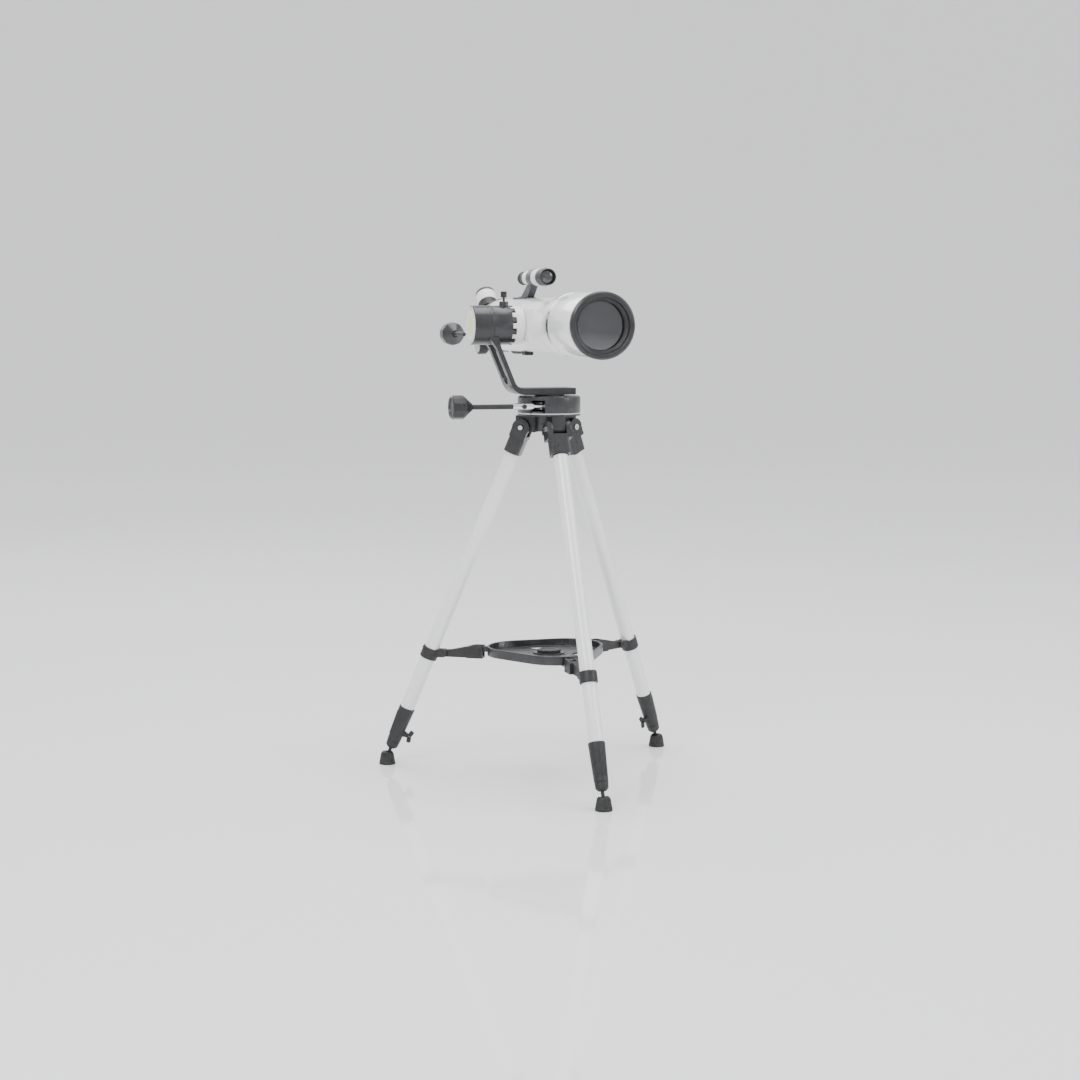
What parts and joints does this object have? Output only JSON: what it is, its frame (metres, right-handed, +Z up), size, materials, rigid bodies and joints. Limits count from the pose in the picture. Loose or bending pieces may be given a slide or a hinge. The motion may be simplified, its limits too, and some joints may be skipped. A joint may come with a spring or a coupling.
{
  "type": "telescope on tripod",
  "caption": "Small refracting telescope on a one-armed altazimuth head with slow-motion drive handles, finder, telescoping tripod legs and an accessory tray.",
  "frame": {"origin": "on the floor, under the vertical azimuth axis", "axes": "+Z up, tube looks along -Y, altitude drum on the -X side; the front leg points along -Y"},
  "size_m": [0.6022, 0.8121, 0.9771],
  "materials": {
    "white_paint": "gloss",
    "black_gloss": "polished",
    "black_metal": "semi-gloss",
    "black_matte": "fine texture",
    "white_plastic": "semi-gloss",
    "dark_grey": "satin",
    "chrome": "polished",
    "steel": "machined",
    "brass": "machined",
    "rubber": "moulded",
    "lens_glass": "coated",
    "dial": "printed"
  },
  "bodies": {
    "hub": {"hub_casting": "black_metal", "azimuth_spindle": "steel", "hinge_bolts": "chrome"},
    "azimuth_head": {"azimuth_housing": "black_gloss", "azimuth_trim_ring": "chrome", "fork_arm": "black_metal", "altitude_housing": "black_gloss", "altitude_dial": "dial"},
    "azimuth_drive": {"azimuth_worm": "chrome", "azimuth_drive_shaft": "black_matte", "azimuth_drive_knob": "black_gloss"},
    "altitude_drive": {"altitude_worm": "chrome", "altitude_drive_shaft": "black_matte", "altitude_drive_knob": "black_gloss"},
    "altitude_head": {"altitude_worm_wheel": "brass", "altitude_clutch": "black_gloss", "tube_saddle": "white_plastic", "main_tube": "white_paint", "dew_shield": "white_paint", "dew_trim_ring": "chrome", "front_ring": "black_gloss", "objective_lens": "lens_glass", "focuser_housing": "black_gloss", "tube_foot": "black_matte", "finder_bracket": "dark_grey", "finder_tube": "white_plastic", "finder_cells": "black_matte", "finder_screws": "steel"},
    "clutch_lock": {"clutch_lock_knob": "black_matte"},
    "drawtube": {"focuser_drawtube": "chrome"},
    "focus_drive": {"focus_pinion": "steel", "focus_knobs": "black_matte"},
    "diagonal": {"star_diagonal": "black_matte"},
    "eyepiece": {"eyepiece": "white_plastic"},
    "tray": {"tray": "black_gloss"},
    "tray_clamp": {"tray_knob": "black_matte"},
    "leg_front": {"leg_bracket_front": "black_gloss", "leg_tube_front": "white_paint", "leg_sleeve_front": "black_matte", "brace_collar_front": "black_matte"},
    "lower_leg_front": {"inner_leg_front": "steel"},
    "foot_front": {"rubber_foot_front": "rubber"},
    "brace_front": {"brace_front": "black_matte"},
    "sleeve_clamp_front": {"wing_screw_front": "black_matte"},
    "leg_right": {"leg_bracket_right": "black_gloss", "leg_tube_right": "white_paint", "leg_sleeve_right": "black_matte", "brace_collar_right": "black_matte"},
    "lower_leg_right": {"inner_leg_right": "steel"},
    "foot_right": {"rubber_foot_right": "rubber"},
    "brace_right": {"brace_right": "black_matte"},
    "sleeve_clamp_right": {"wing_screw_right": "black_matte"},
    "leg_left": {"leg_bracket_left": "black_gloss", "leg_tube_left": "white_paint", "leg_sleeve_left": "black_matte", "brace_collar_left": "black_matte"},
    "lower_leg_left": {"inner_leg_left": "steel"},
    "foot_left": {"rubber_foot_left": "rubber"},
    "brace_left": {"brace_left": "black_matte"},
    "sleeve_clamp_left": {"wing_screw_left": "black_matte"}
  },
  "joints": [
    {"name": "azimuth_turn", "type": "hinge", "parent": "hub", "child": "azimuth_head", "pos_m": [0, 0, 0.7], "axis": [0, 0, 1], "continuous": true},
    {"name": "azimuth_drive_spin", "type": "hinge", "parent": "azimuth_head", "child": "azimuth_drive", "pos_m": [0, -0.041, 0.7145], "axis": [1, 0, 0], "continuous": true},
    {"name": "altitude_tilt", "type": "hinge", "parent": "azimuth_head", "child": "altitude_head", "pos_m": [0, 0, 0.867], "axis": [-1, 0, 0], "range_deg": [-30, 40]},
    {"name": "altitude_drive_spin", "type": "hinge", "parent": "azimuth_head", "child": "altitude_drive", "pos_m": [-0.138, 0, 0.8495], "axis": [0, 1, 0], "range_deg": [-720, 960]},
    {"name": "clutch_lock_turn", "type": "hinge", "parent": "altitude_head", "child": "clutch_lock", "pos_m": [-0.09, 0, 0.9], "axis": [0, 0, 1], "range_deg": [-180, 180]},
    {"name": "focus_travel", "type": "slide", "parent": "altitude_head", "child": "drawtube", "axis": [0, 1, 0], "range_m": [0, 0.06]},
    {"name": "focus_knob_spin", "type": "hinge", "parent": "altitude_head", "child": "focus_drive", "pos_m": [0, 0.342, 0.8253], "axis": [-1, 0, 0], "range_deg": [0, 350]},
    {"name": "diagonal_turn", "type": "hinge", "parent": "drawtube", "child": "diagonal", "pos_m": [0, 0.387, 0.867], "axis": [0, 1, 0], "range_deg": [-90, 90]},
    {"name": "eyepiece_pull", "type": "slide", "parent": "diagonal", "child": "eyepiece", "axis": [0, 0.7071, 0.7071], "range_m": [0, 0.03]},
    {"name": "tray_lift", "type": "slide", "parent": "hub", "child": "tray", "axis": [0, 0, 1], "range_m": [0, 0.05]},
    {"name": "tray_clamp_turn", "type": "hinge", "parent": "tray", "child": "tray_clamp", "pos_m": [0, 0, 0.238], "axis": [0, 0, 1], "continuous": true},
    {"name": "leg_front_swing", "type": "hinge", "parent": "hub", "child": "leg_front", "pos_m": [0, -0.051, 0.672], "axis": [1, 0, 0], "range_deg": [0, 6.5]},
    {"name": "leg_front_extend", "type": "slide", "parent": "leg_front", "child": "lower_leg_front", "axis": [0, -0.3902, -0.9207], "range_m": [0, 0.3]},
    {"name": "foot_front_tilt", "type": "hinge", "parent": "lower_leg_front", "child": "foot_front", "pos_m": [0, -0.329, 0.016], "axis": [1, 0, 0], "range_deg": [-15, 15]},
    {"name": "brace_front_fold", "type": "hinge", "parent": "leg_front", "child": "brace_front", "pos_m": [0, -0.211, 0.227], "axis": [-1, 0, 0], "range_deg": [0, 78]},
    {"name": "sleeve_clamp_front_turn", "type": "hinge", "parent": "leg_front", "child": "sleeve_clamp_front", "pos_m": [0, -0.30735, 0.06708], "axis": [0, 0.9207, -0.3902], "continuous": true},
    {"name": "leg_right_swing", "type": "hinge", "parent": "hub", "child": "leg_right", "pos_m": [0.04417, 0.0255, 0.672], "axis": [-0.5, 0.866, 0], "range_deg": [0, 6.5]},
    {"name": "leg_right_extend", "type": "slide", "parent": "leg_right", "child": "lower_leg_right", "axis": [0.3379, 0.1951, -0.9207], "range_m": [0, 0.3]},
    {"name": "foot_right_tilt", "type": "hinge", "parent": "lower_leg_right", "child": "foot_right", "pos_m": [0.28492, 0.1645, 0.016], "axis": [-0.5, 0.866, 0], "range_deg": [-15, 15]},
    {"name": "brace_right_fold", "type": "hinge", "parent": "leg_right", "child": "brace_right", "pos_m": [0.18273, 0.1055, 0.227], "axis": [0.5, -0.866, 0], "range_deg": [0, 78]},
    {"name": "sleeve_clamp_right_turn", "type": "hinge", "parent": "leg_right", "child": "sleeve_clamp_right", "pos_m": [0.26618, 0.15368, 0.06708], "axis": [-0.7974, -0.4604, -0.3902], "continuous": true},
    {"name": "leg_left_swing", "type": "hinge", "parent": "hub", "child": "leg_left", "pos_m": [-0.04417, 0.0255, 0.672], "axis": [-0.5, -0.866, 0], "range_deg": [0, 6.5]},
    {"name": "leg_left_extend", "type": "slide", "parent": "leg_left", "child": "lower_leg_left", "axis": [-0.3379, 0.1951, -0.9207], "range_m": [0, 0.3]},
    {"name": "foot_left_tilt", "type": "hinge", "parent": "lower_leg_left", "child": "foot_left", "pos_m": [-0.28492, 0.1645, 0.016], "axis": [-0.5, -0.866, 0], "range_deg": [-15, 15]},
    {"name": "brace_left_fold", "type": "hinge", "parent": "leg_left", "child": "brace_left", "pos_m": [-0.18273, 0.1055, 0.227], "axis": [0.5, 0.866, 0], "range_deg": [0, 78]},
    {"name": "sleeve_clamp_left_turn", "type": "hinge", "parent": "leg_left", "child": "sleeve_clamp_left", "pos_m": [-0.26618, 0.15368, 0.06708], "axis": [0.7974, -0.4604, -0.3902], "continuous": true}
  ],
  "couplings": [
    {"joint": "azimuth_drive_spin", "follows": "azimuth_turn", "ratio": 48},
    {"joint": "altitude_drive_spin", "follows": "altitude_tilt", "ratio": 24},
    {"joint": "focus_knob_spin", "follows": "focus_travel", "rad_per_m": 100},
    {"joint": "brace_front_fold", "follows": "leg_front_swing", "ratio": 12},
    {"joint": "leg_right_swing", "follows": "leg_front_swing", "ratio": 1},
    {"joint": "brace_right_fold", "follows": "leg_front_swing", "ratio": 12},
    {"joint": "leg_left_swing", "follows": "leg_front_swing", "ratio": 1},
    {"joint": "brace_left_fold", "follows": "leg_front_swing", "ratio": 12}
  ]
}
